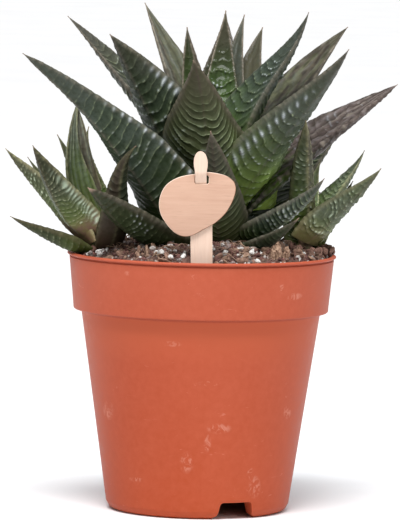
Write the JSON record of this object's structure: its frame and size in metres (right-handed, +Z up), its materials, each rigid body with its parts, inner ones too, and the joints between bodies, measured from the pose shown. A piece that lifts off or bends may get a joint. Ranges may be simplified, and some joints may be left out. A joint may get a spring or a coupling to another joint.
{
  "type": "potted haworthia",
  "caption": "Clump of ridged, keeled succulent leaves in rosettes, growing in a flared plastic nursery pot of potting mix, with a blank wooden tag on a stick.",
  "frame": {"origin": "on the pot's axis, on the surface that the pot stands on", "axes": "+Z up along the pot's axis and along the longest extent; -Y is the side with the tag; +X to the right seen from that side"},
  "size_m": [0.1292, 0.0906, 0.1662],
  "materials": {
    "pot_plastic": "moulded terracotta-coloured plastic, satin, with light scuffs",
    "potting_mix": "loose dark peat with bark, fibres and white perlite grains",
    "stem_and_root": "short fleshy stem with thick pale roots",
    "stake_wood": "pale bare birch, sanded",
    "plate_wood": "thin bare wood with a scorched cut edge",
    "leaf": "waxy dark green leaf skin with pale raised cross ridges and purple-brown tips",
    "offset_leaf": "waxy green leaf skin with rows of pale raised dots, browner at the base"
  },
  "bodies": {
    "root": {"pot": "pot_plastic", "soil": "potting_mix", "main_stem": "stem_and_root", "left_stem": "stem_and_root", "right_stem": "stem_and_root", "label_stake": "stake_wood", "label_plate": "plate_wood", "main_leaf_01": "leaf", "main_leaf_02": "leaf", "main_leaf_03": "leaf", "main_leaf_04": "leaf", "main_leaf_05": "leaf", "main_leaf_06": "leaf", "main_leaf_07": "leaf", "main_leaf_08": "leaf", "main_leaf_09": "leaf", "main_leaf_10": "leaf", "main_leaf_11": "leaf", "main_leaf_12": "leaf", "main_leaf_13": "leaf", "main_leaf_14": "leaf", "main_leaf_15": "leaf", "main_leaf_16": "leaf", "main_leaf_17": "leaf", "main_leaf_18": "leaf", "main_leaf_19": "leaf", "main_leaf_20": "leaf", "main_leaf_21": "leaf", "main_leaf_22": "leaf", "main_leaf_23": "leaf", "main_leaf_24": "leaf", "left_leaf_01": "offset_leaf", "left_leaf_02": "offset_leaf", "left_leaf_03": "offset_leaf", "left_leaf_04": "offset_leaf", "left_leaf_05": "offset_leaf", "left_leaf_06": "offset_leaf", "left_leaf_07": "offset_leaf", "left_leaf_08": "offset_leaf", "left_leaf_09": "offset_leaf", "left_leaf_10": "offset_leaf", "right_leaf_01": "offset_leaf", "right_leaf_02": "offset_leaf", "right_leaf_03": "offset_leaf", "right_leaf_04": "offset_leaf", "right_leaf_05": "offset_leaf", "right_leaf_06": "offset_leaf", "right_leaf_07": "offset_leaf"}
  },
  "joints": []
}
